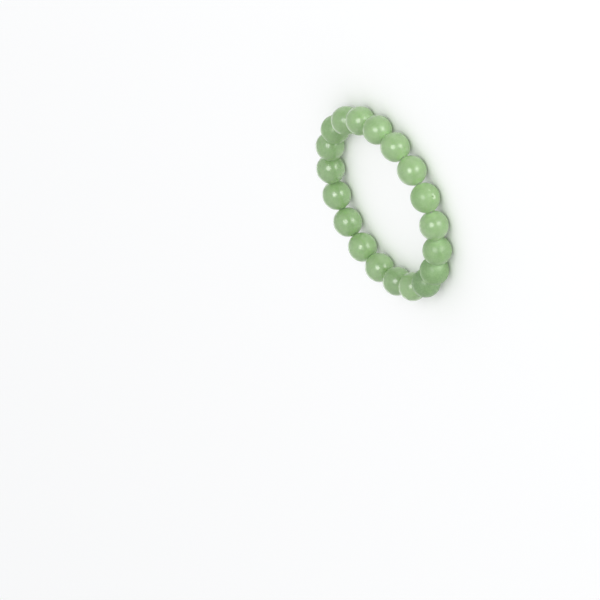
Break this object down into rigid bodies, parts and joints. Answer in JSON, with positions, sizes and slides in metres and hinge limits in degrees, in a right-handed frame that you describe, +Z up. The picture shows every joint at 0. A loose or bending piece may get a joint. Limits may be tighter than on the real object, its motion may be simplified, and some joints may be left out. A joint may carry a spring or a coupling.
{
  "type": "beaded stretch bracelet",
  "caption": "Elastic bracelet of round, polished, milky pale green stone beads, threaded as one closed loop and lying flat on its side.",
  "frame": {"origin": "on the table under the middle of the wrist opening", "axes": "+Z up along the axis of the wrist opening, +X through the middle of the first bead, the rest of the beads following anticlockwise seen from above"},
  "size_m": [0.071, 0.0712, 0.01],
  "materials": {
    "bead_stone": "polished",
    "elastic": "gloss"
  },
  "bodies": {
    "root": {"bead_01": "bead_stone", "bead_02": "bead_stone", "bead_03": "bead_stone", "bead_04": "bead_stone", "bead_05": "bead_stone", "bead_06": "bead_stone", "bead_07": "bead_stone", "bead_08": "bead_stone", "bead_09": "bead_stone", "bead_10": "bead_stone", "bead_11": "bead_stone", "bead_12": "bead_stone", "bead_13": "bead_stone", "bead_14": "bead_stone", "bead_15": "bead_stone", "bead_16": "bead_stone", "bead_17": "bead_stone", "bead_18": "bead_stone", "bead_19": "bead_stone", "elastic_cord": "elastic"}
  },
  "joints": []
}
